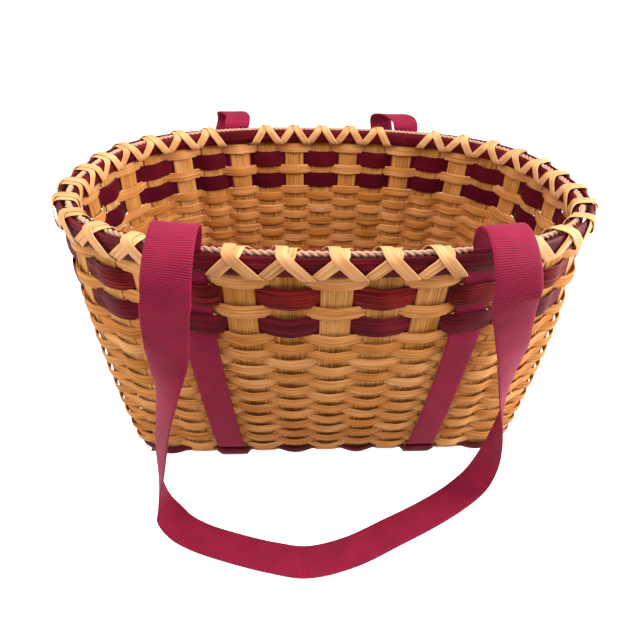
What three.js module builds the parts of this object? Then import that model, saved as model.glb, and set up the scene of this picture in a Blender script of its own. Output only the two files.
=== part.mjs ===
// A splint tote basket woven from flat reed, with a lashed rim and two webbing carry handles.
// Millimetres, +Z up. The front faces -Y and the origin is on the floor under the middle.
import * as THREE from 'three';

// Reed, lashing, cord and webbing stock
const STAKE_WIDTH = 22;
const STAKE_THICKNESS = 1.2;
const WEAVER_WIDTH = 7.5;
const WEAVER_THICKNESS = 1;
const DYED_WIDTH = 16;
const DYED_THICKNESS = 1;
const RIM_WIDTH = 14;
const OUTER_RIM_THICKNESS = 3.5;
const INNER_RIM_THICKNESS = 3.5;
const LASHING_WIDTH = 6.4;
const LASHING_THICKNESS = 0.9;
const FILLER_DIAMETER = 3;
const STRAP_WIDTH = 26.5;
const STRAP_THICKNESS = 1.5;

// Stakes: those that cross from front to back and those that run from end to end
const CROSS_STAKE_COUNT = 11;
const LONG_STAKE_COUNT = 7;
const SIDE_GAP = 8;
const END_GAP = 18;
const BEND_REACH = 3.5;

// Rim outline at the middle of the stakes, how far the base lies inside it, the flare of the wall
// and the swell of its corners, whose middle and reach are counted in uprights
const RIM_HALF_LENGTH = 210;
const RIM_HALF_DEPTH = 145;
const RIM_ROUNDNESS = 2.5;
const END_INSET = 28;
const SIDE_INSET = 15;
const WALL_FLARE = 2.4;
const CORNER_SWELL = 14;
const SWELL_CENTRE_COUNT = 6.5;
const SWELL_REACH_COUNT = 4;

// Weaving, from the floor up
const NATURAL_ROW_COUNT = 19;
const ROW_GAP = 0.7;
const LASHING_SLOT = 2.8;

// The straps lie on these cross stakes, counted from the middle one, and bend over the rim in an
// arch that leans towards the middle and turns the webbing, both in degrees. It sways by a share
// of its crown. The back handle is pushed to the left, so its arches lie lower and shift on the
// part of their way that is given as shares
const STRAP_STAKE_COUNT = 3;
const BEND_RISE = 2;
const BEND_DROP = 3;
const BEND_DEPTH = 48.2;
const FRONT_CROWN = 24;
const BACK_CROWN = 12;
const BACK_PUSH = 19;
const PUSH_SPAN = [0.2, 0.8];
const BEND_SWAY = 0.21;
const BEND_TOE_IN = 16.6;
const BEND_TURN = 14;
const HANDLE_LEAD = 4;

// Clearances between pieces that touch
const WEAVE_CLEARANCE = 0.8;
const SIDE_CLEARANCE = 0.5;
const SEAT_CLEARANCE = 0.4;
const LASHING_CLEARANCE = 0.6;
const RIM_CLEARANCE = 0.9;
const END_CLEARANCE = 0.3;

const NATURAL_REED = new THREE.MeshStandardMaterial({ color: 0xb98a52, roughness: 0.75, metalness: 0 });
const PALE_REED = new THREE.MeshStandardMaterial({ color: 0xcda777, roughness: 0.7, metalness: 0 });
const DYED_REED = new THREE.MeshStandardMaterial({ color: 0x4a1a1f, roughness: 0.65, metalness: 0 });
const SEAGRASS = new THREE.MeshStandardMaterial({ color: 0xc2a183, roughness: 0.85, metalness: 0 });
const WEBBING = new THREE.MeshStandardMaterial({ color: 0x7a1f45, roughness: 0.9, metalness: 0 });

// Counts and heights that follow from the sizes above
const CROSS_REACH = (CROSS_STAKE_COUNT - 1) / 2;
const LONG_REACH = (LONG_STAKE_COUNT - 1) / 2;
const UPRIGHTS = 2 * (CROSS_STAKE_COUNT + LONG_STAKE_COUNT);
const BASE_HALF_LENGTH = RIM_HALF_LENGTH - END_INSET;
const BASE_HALF_DEPTH = RIM_HALF_DEPTH - SIDE_INSET;
const CROSS_PITCH = (BASE_HALF_LENGTH - STAKE_WIDTH / 2 - END_GAP) / CROSS_REACH;
const LONG_PITCH = (BASE_HALF_DEPTH - STAKE_WIDTH / 2 - SIDE_GAP) / LONG_REACH;
const BASE_LIFT = STAKE_THICKNESS + SEAT_CLEARANCE;
const BASE_Z = STRAP_THICKNESS + SEAT_CLEARANCE + BASE_LIFT + STAKE_THICKNESS / 2;
const FIRST_ROW_Z = BASE_Z + BEND_REACH + WEAVER_WIDTH / 2 + ROW_GAP / 2;
const ROW_PITCH = WEAVER_WIDTH + ROW_GAP;
const DYED_STEP = (WEAVER_WIDTH + DYED_WIDTH) / 2 + ROW_GAP;
const LOWER_DYED_Z = FIRST_ROW_Z + NATURAL_ROW_COUNT * ROW_PITCH + DYED_STEP;
const UPPER_DYED_Z = LOWER_DYED_Z + 2 * DYED_STEP;
const TOP_ROW_Z = UPPER_DYED_Z + DYED_STEP;
const RIM_BOTTOM_Z = TOP_ROW_Z + WEAVER_WIDTH / 2 + LASHING_SLOT;
const RIM_Z = RIM_BOTTOM_Z + RIM_WIDTH / 2;
const RIM_TOP_Z = RIM_BOTTOM_Z + RIM_WIDTH;
const STAKE_TOP_Z = RIM_TOP_Z - FILLER_DIAMETER;

// Offsets from the middle of the stakes, outward positive
const STRAP_OFFSET = (STAKE_THICKNESS + STRAP_THICKNESS) / 2 + SEAT_CLEARANCE;
const STRAP_OVER_ROWS = STAKE_THICKNESS / 2 + WEAVE_CLEARANCE + WEAVER_THICKNESS
  + SEAT_CLEARANCE + STRAP_THICKNESS / 2;
const STRAP_FACE = STRAP_OFFSET + STRAP_THICKNESS / 2;
const OUTER_RIM_OFFSET = STRAP_FACE + RIM_CLEARANCE + OUTER_RIM_THICKNESS / 2;
const OUTER_RIM_FACE = OUTER_RIM_OFFSET + OUTER_RIM_THICKNESS / 2;
const FILLER_OFFSET = STAKE_THICKNESS / 2 - FILLER_DIAMETER / 2;
const INNER_RIM_OFFSET = FILLER_OFFSET - FILLER_DIAMETER / 2 - SEAT_CLEARANCE - INNER_RIM_THICKNESS / 2;
const INNER_RIM_FACE = INNER_RIM_OFFSET - INNER_RIM_THICKNESS / 2;
const LASHING_LAYER = LASHING_THICKNESS + SEAT_CLEARANCE;

const vec = (x, y, z) => new THREE.Vector3(x, y, z);

// p + a * u + b * v
function offsetPoint(p, u, a, v, b) {
  return p.clone().addScaledVector(u, a).addScaledVector(v, b);
}

// Closed solid through a list of like corner loops, as a ring or with flat ends
function sweep(loops, ring) {
  const corners = loops[0].length;
  const positions = loops.flat().flatMap((p) => [p.x, p.y, p.z]);
  const index = [];
  const at = (i, j) => (i % loops.length) * corners + (j % corners);
  const steps = ring ? loops.length : loops.length - 1;
  for (let i = 0; i < steps; i++) {
    for (let j = 0; j < corners; j++) {
      index.push(at(i, j), at(i, j + 1), at(i + 1, j + 1));
      index.push(at(i, j), at(i + 1, j + 1), at(i + 1, j));
    }
  }
  for (let j = 1; !ring && j < corners - 1; j++) {
    index.push(at(0, 0), at(0, j + 1), at(0, j));
    index.push(at(steps, 0), at(steps, j), at(steps, j + 1));
  }
  if (signedVolume(positions, index) < 0) index.reverse();
  const geometry = new THREE.BufferGeometry();
  geometry.setAttribute('position', new THREE.Float32BufferAttribute(positions, 3));
  geometry.setIndex(index);
  geometry.computeVertexNormals();
  return geometry;
}

function signedVolume(positions, index) {
  const corner = (i) => vec().fromArray(positions, 3 * i);
  let six = 0;
  for (let i = 0; i < index.length; i += 3) {
    six += corner(index[i]).dot(corner(index[i + 1]).cross(corner(index[i + 2])));
  }
  return six / 6;
}

// Rectangular section of a flat strip: w lies along its width and d through its thickness
function strip(p, w, d, width, thickness) {
  const sides = [[-1, -1], [1, -1], [1, 1], [-1, 1]];
  return sides.map(([a, b]) => offsetPoint(p, w, a * width / 2, d, b * thickness / 2));
}

// Where each upright leaves the base, counted from the front middle towards +X
function uprightFoot(k) {
  const frontEnd = CROSS_REACH;
  const rightEnd = frontEnd + LONG_STAKE_COUNT;
  const backEnd = rightEnd + CROSS_STAKE_COUNT;
  const leftEnd = backEnd + LONG_STAKE_COUNT;
  if (k <= frontEnd) return { x: k * CROSS_PITCH, y: -BASE_HALF_DEPTH, along: vec(1, 0, 0) };
  if (k <= rightEnd) {
    return { x: BASE_HALF_LENGTH, y: (k - frontEnd - 1 - LONG_REACH) * LONG_PITCH, along: vec(0, 1, 0) };
  }
  if (k <= backEnd) {
    return { x: (rightEnd + 1 + CROSS_REACH - k) * CROSS_PITCH, y: BASE_HALF_DEPTH, along: vec(-1, 0, 0) };
  }
  if (k <= leftEnd) {
    return { x: -BASE_HALF_LENGTH, y: (backEnd + 1 + LONG_REACH - k) * LONG_PITCH, along: vec(0, -1, 0) };
  }
  return { x: (k - UPRIGHTS) * CROSS_PITCH, y: -BASE_HALF_DEPTH, along: vec(1, 0, 0) };
}

// Rim outline: a superellipse from the front middle, cut into equal lengths, one for each upright
function rimPoints() {
  const fine = 720;
  const rounded = (c) => Math.sign(c) * Math.abs(c) ** (2 / RIM_ROUNDNESS);
  const outline = [];
  for (let i = 0; i < fine; i++) {
    const a = (i / fine) * 2 * Math.PI;
    outline.push(vec(RIM_HALF_LENGTH * rounded(Math.sin(a)), -RIM_HALF_DEPTH * rounded(Math.cos(a)), 0));
  }
  const curve = new THREE.CatmullRomCurve3(outline, true);
  curve.arcLengthDivisions = 2 * fine;
  return curve.getSpacedPoints(UPRIGHTS).slice(0, UPRIGHTS);
}

const FEET = Array.from({ length: UPRIGHTS }, (_, k) => uprightFoot(k));
const BASE_CURVE = new THREE.CatmullRomCurve3(FEET.map((f) => vec(f.x, f.y, 0)), true);
const RIM_CURVE = new THREE.CatmullRomCurve3(rimPoints(), true);

const heightShare = (z) => THREE.MathUtils.clamp((z - BASE_Z) / (RIM_TOP_Z - BASE_Z), 0, 1);

// How far the wall has flared from the base to the rim at a height
const flare = (z) => 1 - (1 - heightShare(z)) ** WALL_FLARE;

// How far the wall swells outward at upright u: most near the corners and at half its height
function swell(u, z) {
  const t = heightShare(z);
  let share = 0;
  for (const corner of [SWELL_CENTRE_COUNT, UPRIGHTS / 2 - SWELL_CENTRE_COUNT]) {
    const away = THREE.MathUtils.euclideanModulo(u, UPRIGHTS / 2) - corner;
    const near = THREE.MathUtils.clamp(away / SWELL_REACH_COUNT, -1, 1);
    share += Math.cos((Math.PI / 2) * near) ** 2;
  }
  return CORNER_SWELL * share * 4 * t * (1 - t);
}

function wallPoint(u, z) {
  const turn = THREE.MathUtils.euclideanModulo(u, UPRIGHTS) / UPRIGHTS;
  const outward = RIM_CURVE.getTangent(turn).cross(vec(0, 0, 1));
  const p = BASE_CURVE.getPoint(turn).lerp(RIM_CURVE.getPoint(turn), flare(z));
  return p.addScaledVector(outward, swell(u, z)).setZ(z);
}

// Wall frame at upright u: p on the middle of the stake, t along the wall, v up it and n outward
function wallFrame(u, z) {
  const turn = THREE.MathUtils.euclideanModulo(u, UPRIGHTS);
  const step = 1;
  const t = FEET[Math.round(turn) % UPRIGHTS].along.clone();
  t.lerp(RIM_CURVE.getTangent(turn / UPRIGHTS), flare(z)).normalize();
  const rise = wallPoint(u, z + step).sub(wallPoint(u, z - step));
  const n = t.clone().cross(rise).normalize();
  return { p: wallPoint(u, z), t, v: n.clone().cross(t).normalize(), n };
}

const frontUpright = (i) => THREE.MathUtils.euclideanModulo(i, UPRIGHTS);
const backUpright = (i) => UPRIGHTS / 2 - i;
const rightUpright = (j) => UPRIGHTS / 4 + j;
const leftUpright = (j) => (3 * UPRIGHTS) / 4 - j;

const FRONT_RIGHT = frontUpright(STRAP_STAKE_COUNT);
const BACK_RIGHT = backUpright(STRAP_STAKE_COUNT);
const BACK_LEFT = backUpright(-STRAP_STAKE_COUNT);
const FRONT_LEFT = frontUpright(-STRAP_STAKE_COUNT);
const STRAP_UPRIGHTS = [FRONT_RIGHT, BACK_RIGHT, BACK_LEFT, FRONT_LEFT];

// One row of weaving all round, outside the odd uprights or outside the even ones
function wovenRow(z, width, thickness, outsideOdd, overStraps) {
  const loops = [];
  for (let k = 0; k < UPRIGHTS; k++) {
    const outside = (k % 2 === 1) === outsideOdd;
    const overStrap = outside && overStraps && STRAP_UPRIGHTS.includes(k);
    const face = overStrap ? STRAP_FACE + SEAT_CLEARANCE : STAKE_THICKNESS / 2 + WEAVE_CLEARANCE;
    const offset = (outside ? 1 : -1) * (face + thickness / 2);
    const reach = (overStrap ? STRAP_WIDTH : STAKE_WIDTH) / 2 + SIDE_CLEARANCE;
    const f = wallFrame(k, z);
    for (const side of [-1, 1]) {
      loops.push(strip(offsetPoint(f.p, f.t, side * reach, f.n, offset), f.v, f.n, width, thickness));
    }
  }
  return sweep(loops, true);
}

// A ring that follows the rim at a steady offset; section gives its corners in the frame there
function rimRing(section) {
  const loops = [];
  for (let half = 0; half < 2 * UPRIGHTS; half++) {
    loops.push(section(wallFrame(half / 2, RIM_Z)));
  }
  return sweep(loops, true);
}

function rimBand(offset, thickness) {
  return rimRing((f) => strip(offsetPoint(f.p, f.n, offset, f.v, 0), f.v, f.n, RIM_WIDTH, thickness));
}

function rimFiller() {
  const sides = 5;
  const up = RIM_WIDTH / 2 - FILLER_DIAMETER / 2 + END_CLEARANCE;
  return rimRing((f) => Array.from({ length: sides }, (_, i) => {
    const a = ((i + 0.5) / sides) * 2 * Math.PI;
    const out = FILLER_OFFSET + Math.sin(a) * FILLER_DIAMETER / 2;
    return offsetPoint(f.p, f.n, out, f.v, up + Math.cos(a) * FILLER_DIAMETER / 2);
  }));
}

// Mitred corner of a lashing wrap round both rim bands; layer lifts the returning strand
function lashingCorner(u, outside, top, layer) {
  const f = wallFrame(u, RIM_Z);
  const lift = LASHING_CLEARANCE + layer;
  const out = outside ? 1 : -1;
  const up = top ? 1 : -1;
  const face = outside ? OUTER_RIM_FACE + lift : INNER_RIM_FACE - lift;
  const edge = top ? RIM_WIDTH / 2 + lift : -RIM_WIDTH / 2 - SEAT_CLEARANCE - layer;
  const near = offsetPoint(f.p, f.n, face, f.v, edge);
  const far = offsetPoint(near, f.n, out * LASHING_THICKNESS, f.v, up * LASHING_THICKNESS);
  const half = LASHING_WIDTH / 2;
  const across = (p, side) => p.clone().addScaledVector(f.t, side * half);
  return [across(near, -1), across(near, 1), across(far, 1), across(far, -1)];
}

// Crossed lashing from one strap to the next: a strand wraps the rims over each upright between
// them, through the gaps beside the stakes, and comes back the other way on top of itself
function lashing(fromStrap, toStrap) {
  const beside = (STRAP_WIDTH + LASHING_WIDTH) / 2 + SIDE_CLEARANCE;
  const endGap = beside / (RIM_CURVE.getLength() / UPRIGHTS);
  const first = fromStrap + 1;
  const last = toStrap - 1;
  const before = (k) => (k === first ? fromStrap + endGap : k - 0.5);
  const after = (k) => (k === last ? toStrap - endGap : k + 0.5);
  const loops = [];
  for (let k = first; k <= last; k++) {
    loops.push(lashingCorner(before(k), true, false, 0), lashingCorner(k, true, true, 0));
    loops.push(lashingCorner(k, false, true, 0), lashingCorner(after(k), false, false, 0));
  }
  for (let k = last; k >= first; k--) {
    loops.push(lashingCorner(after(k), true, false, LASHING_LAYER));
    loops.push(lashingCorner(k, true, true, LASHING_LAYER));
    loops.push(lashingCorner(k, false, true, LASHING_LAYER));
    loops.push(lashingCorner(before(k), false, false, LASHING_LAYER));
  }
  return sweep(loops, false);
}

// Sections of a stake down the wall at upright k, closer together where the wall curves more
function stakeWall(k) {
  const steps = 12;
  const crowding = 1.2;
  const bottom = BASE_Z + BEND_REACH;
  return Array.from({ length: steps + 1 }, (_, i) => {
    const z = bottom + (STAKE_TOP_Z - bottom) * (1 - i / steps) ** crowding;
    const f = wallFrame(k, z);
    return strip(f.p, f.t, f.n, STAKE_WIDTH, STAKE_THICKNESS);
  });
}

// Sections round the bend from the wall at upright k to the base, at an outward offset
function baseBend(k, width, thickness, offset) {
  const f = wallFrame(k, BASE_Z + BEND_REACH);
  const foot = FEET[k];
  const outward = foot.along.clone().cross(vec(0, 0, 1));
  const start = offsetPoint(f.p, f.n, offset, f.v, 0);
  const corner = vec(foot.x, foot.y, BASE_Z - offset).addScaledVector(outward, offset);
  const end = vec(foot.x, foot.y, BASE_Z - offset).addScaledVector(outward, -BEND_REACH);
  const curve = new THREE.QuadraticBezierCurve3(start, corner, end);
  const stations = [0.35, 0.7, 1];
  return stations.map((s) => {
    const d = foot.along.clone().cross(curve.getTangent(s)).normalize();
    return strip(curve.getPoint(s), foot.along, d.negate(), width, thickness);
  });
}

const turned = (loops) => loops.slice().reverse();

// A reversed run keeps its corners in step when the far side of the basket faces the other way
const faced = (loops) => loops.map(([a, b, c, d]) => [b, a, d, c]);

// Over and under the long stakes: where cross stake i lies high and where it lies low
function crossStakeBase(i) {
  const loops = [];
  for (let j = -LONG_REACH; j <= LONG_REACH; j++) {
    const high = (i + j) % 2 === 0;
    const z = BASE_Z + (high ? BASE_LIFT : -BASE_LIFT);
    for (const side of [-1, 1]) {
      const y = j * LONG_PITCH + side * (STAKE_WIDTH / 2 + SIDE_CLEARANCE);
      const p = vec(i * CROSS_PITCH, y, z);
      loops.push(strip(p, vec(1, 0, 0), vec(0, 0, -1), STAKE_WIDTH, STAKE_THICKNESS));
    }
  }
  return loops;
}

function stake(nearUpright, farUpright, base) {
  const bend = (k) => baseBend(k, STAKE_WIDTH, STAKE_THICKNESS, 0);
  const near = [...stakeWall(nearUpright), ...bend(nearUpright)];
  const far = turned([...stakeWall(farUpright), ...bend(farUpright)]);
  return sweep([...near, ...base, ...faced(far)], false);
}

// Strap down the outside of the wall: under the dyed rows, over the natural ones
function strapWall(k) {
  const under = [RIM_TOP_Z, RIM_BOTTOM_Z, UPPER_DYED_Z, LOWER_DYED_Z - DYED_WIDTH / 2];
  const top = LOWER_DYED_Z - DYED_WIDTH / 2 - ROW_PITCH;
  const bottom = FIRST_ROW_Z + WEAVER_WIDTH / 2 + ROW_PITCH;
  const steps = 6;
  const over = Array.from({ length: steps + 1 }, (_, i) => top + (bottom - top) * (i / steps));
  const foot = [FIRST_ROW_Z + WEAVER_WIDTH / 2, BASE_Z + BEND_REACH];
  const section = (offset) => (z) => {
    const f = wallFrame(k, z);
    return strip(offsetPoint(f.p, f.n, offset, f.v, 0), f.t, f.n, STRAP_WIDTH, STRAP_THICKNESS);
  };
  return [
    ...under.map(section(STRAP_OFFSET)),
    ...over.map(section(STRAP_OVER_ROWS)),
    ...foot.map(section(STRAP_OFFSET)),
  ];
}

// Strap along the underside of the base
function strapBase(i) {
  const reach = BASE_HALF_DEPTH - 2 * BEND_REACH;
  return [-1, 1].map((side) => strip(
    vec(i * CROSS_PITCH, side * reach, STRAP_THICKNESS / 2),
    vec(1, 0, 0), vec(0, 0, -1), STRAP_WIDTH, STRAP_THICKNESS,
  ));
}

// One webbing strap: down the front wall, under the base and up the back wall
function strapRun(i) {
  const under = BASE_Z - STRAP_THICKNESS / 2;
  const side = (k) => [...strapWall(k), ...baseBend(k, STRAP_WIDTH, STRAP_THICKNESS, under)];
  const far = turned(side(backUpright(i)));
  return sweep([...side(frontUpright(i)), ...strapBase(i), ...faced(far)], false);
}

// Bend of the webbing at upright k, out of the rim, over the outer band and down
function strapBendCurve(k) {
  const f = wallFrame(k, RIM_Z);
  const inward = Math.sign(f.p.x * f.p.y);
  const turn = (v, degrees) => v.clone().applyAxisAngle(f.v, THREE.MathUtils.degToRad(inward * degrees));
  const out = turn(f.n, BEND_TOE_IN);
  const isFront = f.p.y < 0;
  const crown = isFront ? FRONT_CROWN : BACK_CROWN;
  const push = vec(isFront ? 0 : -BACK_PUSH, 0, 0);
  const pushed = (share) => THREE.MathUtils.smoothstep(share, ...PUSH_SPAN);
  const foot = offsetPoint(f.p, f.n, STRAP_OFFSET, f.v, RIM_WIDTH / 2 + END_CLEARANCE);
  const steps = 8;
  const points = [foot];
  const widths = [f.t];
  for (let i = 0; i <= steps; i++) {
    const a = Math.PI * (i / steps);
    const share = (1 - Math.cos(a)) / 2;
    const rise = THREE.MathUtils.lerp(BEND_RISE, -BEND_DROP, share) + crown * Math.sin(a);
    const p = offsetPoint(foot, out, BEND_DEPTH * share, f.v, rise);
    points.push(offsetPoint(p, f.t, inward * BEND_SWAY * crown * Math.sin(a), push, pushed(i / steps)));
    widths.push(turn(f.t, BEND_TURN * (i / steps)));
  }
  const down = offsetPoint(vec(0, 0, 0), f.v, -1, f.t, -inward * BEND_SWAY).normalize();
  return { points, widths, up: f.v, down, t: widths[steps + 1], end: points[steps + 1] };
}

function strapBend(k) {
  const { points, widths, up, down } = strapBendCurve(k);
  const last = points.length - 1;
  return sweep(points.map((p, i) => {
    const before = i > 0 ? points[i - 1] : p.clone().sub(up);
    const along = i < last ? points[i + 1].clone().sub(before).normalize() : down;
    const d = along.clone().cross(widths[i]).normalize();
    return strip(p, d.clone().cross(along), d, STRAP_WIDTH, STRAP_THICKNESS);
  }), false);
}

// Way of the front handle from its left bend to its right one: how far across as a share of the
// way to a bend, how far in front of the bends and how high, both as a share of the height of the
// bends above the floor, and in degrees the heading of the webbing's width from +X and its bank
const HANDLE_ROUTE = [
  [-1.03, -0.001, 0.956, 4, 0],
  [-1.06, -0.007, 0.902, 5, 0],
  [-1.09, -0.013, 0.839, 4, 0],
  [-1.13, -0.021, 0.772, -10, 0],
  [-1.19, -0.028, 0.693, -31, 0],
  [-1.24, -0.032, 0.609, -49, 0],
  [-1.31, -0.034, 0.517, -55, 0],
  [-1.4, -0.03, 0.38, -58, 0],
  [-1.48, -0.021, 0.246, -63, 0],
  [-1.53, -0.009, 0.137, -78, 0],
  [-1.5, 0.026, 0.054, -98, -8],
  [-1.37, 0.075, 0.024, -108, -13],
  [-1.18, 0.114, 0.018, -112, -14],
  [-0.89, 0.152, 0.017, -110, -14],
  [-0.51, 0.19, 0.015, -103, -13],
  [-0.21, 0.206, 0.011, -93, -9],
  [0.17, 0.176, 0.009, -74, -9],
  [0.55, 0.115, 0.01, -65, -8],
  [0.95, 0.047, 0.013, -64, -9],
  [1.24, -0.011, 0.023, -65, -7],
  [1.43, -0.052, 0.066, -66, -2],
  [1.5, -0.071, 0.183, -78, 0],
  [1.48, -0.08, 0.35, -100, 0],
  [1.39, -0.08, 0.517, -122, 0],
  [1.32, -0.067, 0.622, -135, 0],
  [1.26, -0.055, 0.71, -147, 0],
  [1.2, -0.038, 0.785, -155, 0],
  [1.13, -0.025, 0.856, -162, 0],
  [1.07, -0.015, 0.919, -168, 0],
  [1.03, -0.006, 0.958, -171, 0],
];

const HALF_TURN = 180;

// Handle between two bends, as the front one lies; the back one is turned half round and pushed
function handle() {
  const left = strapBendCurve(FRONT_LEFT);
  const right = strapBendCurve(FRONT_RIGHT);
  const floorZ = STRAP_THICKNESS / 2 + SEAT_CLEARANCE;
  const heading = (t) => THREE.MathUtils.radToDeg(Math.atan2(t.y, t.x));
  const below = (bend, drop, turn) => (
    { p: bend.end.clone().addScaledVector(bend.down, drop), turn, bank: 0 }
  );
  const leftTurn = heading(left.t);
  const rightTurn = heading(right.t) - HALF_TURN;
  const place = ([across, forward, up, turn, bank]) => {
    const height = right.end.z - floorZ;
    const p = vec(across * right.end.x, right.end.y - forward * height, floorZ + up * height);
    return { p, turn, bank };
  };
  const route = [
    below(left, END_CLEARANCE, leftTurn),
    below(left, HANDLE_LEAD, leftTurn),
    ...HANDLE_ROUTE.map(place),
    below(right, HANDLE_LEAD, rightTurn),
    below(right, END_CLEARANCE, rightTurn),
  ];
  const curve = new THREE.CatmullRomCurve3(route.map((r) => r.p));
  const steps = 2 * (route.length - 1);
  const loops = [];
  for (let i = 0; i <= steps; i++) {
    const s = i / steps;
    const along = s * (route.length - 1);
    const before = Math.min(Math.floor(along), route.length - 2);
    const between = (key) => THREE.MathUtils.degToRad(
      THREE.MathUtils.lerp(route[before][key], route[before + 1][key], along - before),
    );
    const a = between('turn');
    const tangent = curve.getTangent(s);
    const d = tangent.clone().cross(vec(Math.cos(a), Math.sin(a), 0)).normalize();
    d.applyAxisAngle(tangent, between('bank'));
    const w = d.clone().cross(tangent).normalize();
    loops.push(strip(curve.getPoint(s), w, d, STRAP_WIDTH, STRAP_THICKNESS));
  }
  return sweep(loops, false);
}

const basket = new THREE.Group();

function add(name, geometry, material) {
  const mesh = new THREE.Mesh(geometry, material);
  mesh.name = name;
  basket.add(mesh);
  return mesh;
}

const two = (n) => String(n).padStart(2, '0');

for (let i = -CROSS_REACH; i <= CROSS_REACH; i++) {
  const body = stake(frontUpright(i), backUpright(i), crossStakeBase(i));
  add(`cross_stake_${two(i + CROSS_REACH + 1)}`, body, NATURAL_REED);
}
for (let j = -LONG_REACH; j <= LONG_REACH; j++) {
  add(`long_stake_${two(j + LONG_REACH + 1)}`, stake(leftUpright(j), rightUpright(j), []), NATURAL_REED);
}

add('dyed_row_bottom', wovenRow(FIRST_ROW_Z, WEAVER_WIDTH, WEAVER_THICKNESS, true, true), DYED_REED);
for (let row = 1; row <= NATURAL_ROW_COUNT; row++) {
  const z = FIRST_ROW_Z + row * ROW_PITCH;
  add(`natural_row_${two(row)}`, wovenRow(z, WEAVER_WIDTH, WEAVER_THICKNESS, row % 2 === 0), NATURAL_REED);
}
add('dyed_row_lower', wovenRow(LOWER_DYED_Z, DYED_WIDTH, DYED_THICKNESS, true, true), DYED_REED);
const betweenDyed = wovenRow(LOWER_DYED_Z + DYED_STEP, WEAVER_WIDTH, WEAVER_THICKNESS, false);
add('natural_row_between_dyed', betweenDyed, NATURAL_REED);
add('dyed_row_upper', wovenRow(UPPER_DYED_Z, DYED_WIDTH, DYED_THICKNESS, true, true), DYED_REED);
add('natural_row_top', wovenRow(TOP_ROW_Z, WEAVER_WIDTH, WEAVER_THICKNESS, false), NATURAL_REED);

add('outer_rim_band', rimBand(OUTER_RIM_OFFSET, OUTER_RIM_THICKNESS), DYED_REED);
add('inner_rim_band', rimBand(INNER_RIM_OFFSET, INNER_RIM_THICKNESS), DYED_REED);
add('rim_filler_cord', rimFiller(), SEAGRASS);

add('lashing_right', lashing(FRONT_RIGHT, BACK_RIGHT), PALE_REED);
add('lashing_back', lashing(BACK_RIGHT, BACK_LEFT), PALE_REED);
add('lashing_left', lashing(BACK_LEFT, FRONT_LEFT), PALE_REED);
add('lashing_front', lashing(FRONT_LEFT, UPRIGHTS + FRONT_RIGHT), PALE_REED);

add('strap_left', strapRun(-STRAP_STAKE_COUNT), WEBBING);
add('strap_right', strapRun(STRAP_STAKE_COUNT), WEBBING);
add('strap_bend_front_left', strapBend(FRONT_LEFT), WEBBING);
add('strap_bend_front_right', strapBend(FRONT_RIGHT), WEBBING);
add('strap_bend_back_left', strapBend(BACK_LEFT), WEBBING);
add('strap_bend_back_right', strapBend(BACK_RIGHT), WEBBING);
add('front_handle', handle(), WEBBING);
const backHandle = add('back_handle', handle(), WEBBING);
backHandle.rotation.z = Math.PI;
backHandle.position.x = -BACK_PUSH;

export default basket;
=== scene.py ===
# %% [markdown]
# A splint tote basket. Flat reed stakes cross in the base and turn up to make the wall, thin
# reed weavers go in and out between them, a lashed rim holds the top, and two webbing straps
# run under the base and end in carry handles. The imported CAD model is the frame. Every one of
# its solids is replaced here by a finer piece that lies in the same place.

# %% Load the frame
import math

import bpy
import numpy as np
from mathutils import Matrix


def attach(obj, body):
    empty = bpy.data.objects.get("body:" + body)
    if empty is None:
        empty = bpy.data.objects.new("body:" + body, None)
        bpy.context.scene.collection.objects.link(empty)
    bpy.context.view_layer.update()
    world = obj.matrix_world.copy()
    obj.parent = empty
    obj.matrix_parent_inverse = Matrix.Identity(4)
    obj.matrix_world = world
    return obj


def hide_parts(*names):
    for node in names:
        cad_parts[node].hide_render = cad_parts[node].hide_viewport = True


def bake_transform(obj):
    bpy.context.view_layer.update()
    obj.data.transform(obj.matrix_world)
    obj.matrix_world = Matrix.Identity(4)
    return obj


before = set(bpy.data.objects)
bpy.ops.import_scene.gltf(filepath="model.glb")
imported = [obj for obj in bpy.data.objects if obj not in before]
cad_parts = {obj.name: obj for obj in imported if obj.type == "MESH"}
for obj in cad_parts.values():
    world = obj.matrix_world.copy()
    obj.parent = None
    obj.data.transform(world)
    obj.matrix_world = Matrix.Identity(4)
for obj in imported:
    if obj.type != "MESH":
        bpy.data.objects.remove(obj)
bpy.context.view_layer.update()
print("solids in the frame:", len(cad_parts))

# %% [markdown]
# The stock. Reed and webbing are sold by width and thickness, so each kind of strip has a size
# of its own. The weavers and the cane are drawn wider than their solids, most of all beside the
# dyed rows, so that the weave closes as it does on the real basket. A crown is the rounded back
# that the reed has on its bark side, and wobble is how far hand work lets a strip stray. Sizes
# are in millimetres, as a basket maker would write them, and turn to metres at the end.

# %% Stock sizes
MM = 0.001
STAKE = {"Width": 22, "Thickness": 1.0, "Crown": 0.25, "Corners": 12, "Wobble": 0.25}
WEAVER = {"Width": 10.2, "Thickness": 1.0, "Crown": 0.8, "Corners": 12, "Wobble": 0.3}
BAND_WEAVER = {**WEAVER, "Width": 11.0}
DYED_WEAVER = {"Width": 17.6, "Thickness": 0.8, "Crown": 0.8, "Corners": 16, "Wobble": 0.3}
RIM_BAND = {"Width": 14, "Thickness": 2.4, "Crown": 1.5, "Corners": 20, "Wobble": 0.4}
CANE = {"Width": 8.0, "Thickness": 0.7, "Crown": 0.2, "Corners": 10, "Wobble": 0.3}
WEBBING = {"Width": 26.5, "Thickness": 1.5, "Crown": 0, "Corners": 16, "Wobble": 0}
WALL_WEBBING = {**WEBBING, "Wobble": 0.2}
print("stake", STAKE["Width"], "mm wide, weaver", WEAVER["Width"], "mm wide")

# %% [markdown]
# Heights of the work, from the floor up: the woven base, the rows of weaving and the rim. They
# are the heights of the solids, so that each strip lies where its solid does.

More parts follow.
